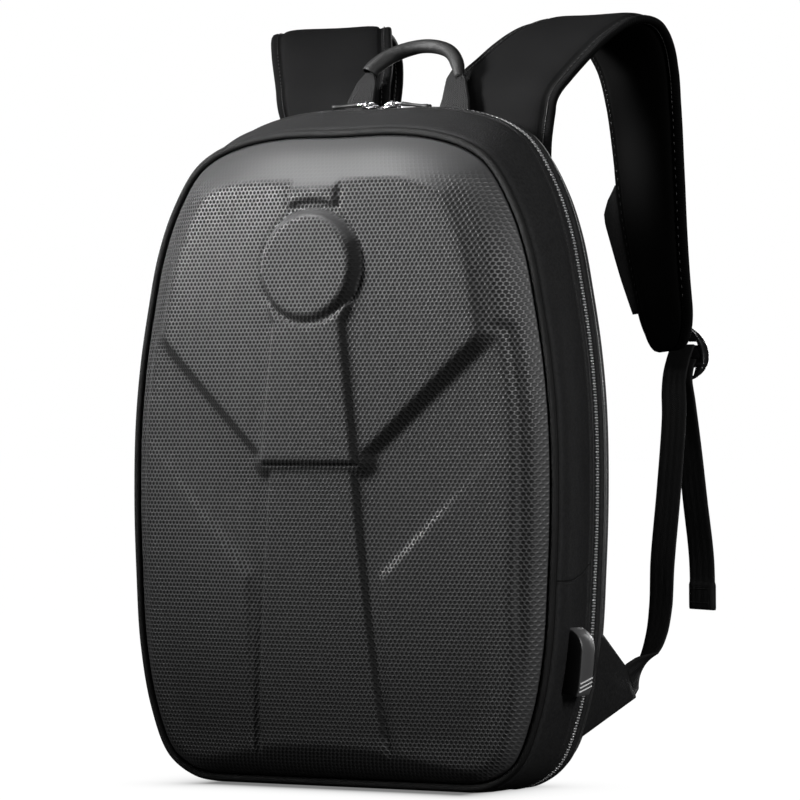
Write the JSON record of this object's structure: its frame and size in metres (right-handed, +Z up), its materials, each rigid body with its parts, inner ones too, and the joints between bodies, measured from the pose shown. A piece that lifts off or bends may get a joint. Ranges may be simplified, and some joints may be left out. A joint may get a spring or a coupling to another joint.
{
  "type": "hard shell backpack",
  "caption": "Backpack with a moulded front shell in stepped relief, cloth sides, a zip round the body, padded shoulder straps, a top handle and a side charging port.",
  "frame": {"origin": "on the ground plane in the middle of the flat underside, below the middle of the front gusset", "axes": "+Z up, -Y out of the moulded front, +Y towards the wearer's back, +X to the right of a viewer who faces the front"},
  "size_m": [0.3327, 0.3029, 0.5162],
  "materials": {
    "shell_skin": "textured with a fine dot pattern, soft sheen",
    "body_cloth": "fine woven",
    "piping_skin": "smooth",
    "zip_metal": "dark gunmetal",
    "strap_cloth": "woven over foam",
    "webbing": "ribbed webbing",
    "black_plastic": "smooth, satin"
  },
  "bodies": {
    "bag": {"front_shell": "shell_skin", "shell_piping": "piping_skin", "front_gusset": "body_cloth", "main_zip": "zip_metal", "rear_gusset": "body_cloth", "back_panel": "strap_cloth", "shoulder_strap_left": "strap_cloth", "shoulder_strap_right": "strap_cloth", "strap_pocket_right": "body_cloth", "ladder_lock_left": "black_plastic", "ladder_lock_right": "black_plastic", "anchor_tab_left": "body_cloth", "anchor_tab_right": "body_cloth", "webbing_left": "webbing", "webbing_right": "webbing", "webbing_tail_left": "webbing", "webbing_tail_right": "webbing", "handle_foot_left": "webbing", "handle_foot_right": "webbing", "top_handle": "strap_cloth", "zip_slider_a": "zip_metal", "zip_slider_b": "zip_metal", "charging_port": "black_plastic"},
    "pull_a": {"zip_pull_a": "black_plastic"},
    "pull_b": {"zip_pull_b": "black_plastic"}
  },
  "joints": [
    {"name": "pull_a_hinge", "type": "hinge", "parent": "bag", "child": "pull_a", "pos_m": [-0.01, 0.0118, 0.4517], "axis": [0, 1, 0], "range_deg": [0, 100]},
    {"name": "pull_b_hinge", "type": "hinge", "parent": "bag", "child": "pull_b", "pos_m": [0.01, 0.0118, 0.4517], "axis": [0, -1, 0], "range_deg": [0, 100]}
  ]
}
